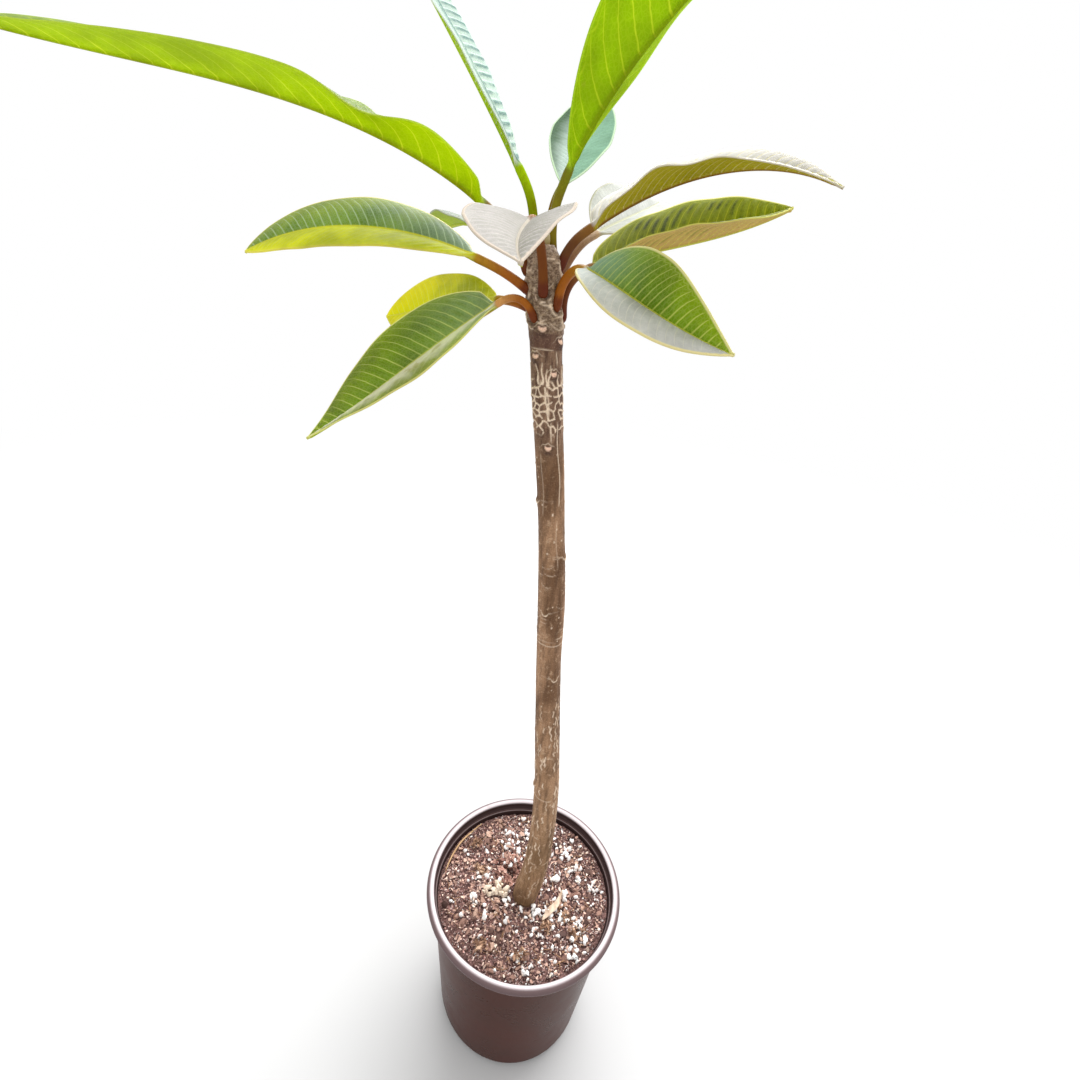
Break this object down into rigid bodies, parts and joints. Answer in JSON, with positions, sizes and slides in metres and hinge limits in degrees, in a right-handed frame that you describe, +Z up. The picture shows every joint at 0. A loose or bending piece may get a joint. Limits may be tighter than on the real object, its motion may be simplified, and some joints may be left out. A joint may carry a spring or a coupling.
{
  "type": "potted plumeria plant",
  "caption": "Young plumeria (frangipani) plant: a bare scarred stem with a crown of long pointed leaves, standing in potting mix in a round nursery pot.",
  "frame": {"origin": "middle of the pot's flat underside, on the surface the plant stands on", "axes": "+Z up along the stem, -Y to the front of the plant, +X to its right seen from the front"},
  "size_m": [0.3038, 0.2987, 0.7243],
  "materials": {
    "pot_plastic": "glossy taupe-brown moulded plastic",
    "potting_mix": "rough, damp mix of bark, coir and white perlite",
    "bark": "matt grey-brown bark with tan cracks and pale leaf scars",
    "leaf": "satin green leaf with pale ribs and margins"
  },
  "bodies": {
    "root": {"pot": "pot_plastic", "soil": "potting_mix", "stem": "bark", "leaf_long_left": "leaf", "leaf_upright_left": "leaf", "leaf_tall_right": "leaf", "leaf_back": "leaf", "leaf_upper_right": "leaf", "leaf_front": "leaf", "leaf_left": "leaf", "leaf_low_left": "leaf", "leaf_left_behind": "leaf", "leaf_low_right": "leaf", "leaf_right": "leaf", "leaf_right_back": "leaf", "leaf_left_back": "leaf"}
  },
  "joints": []
}
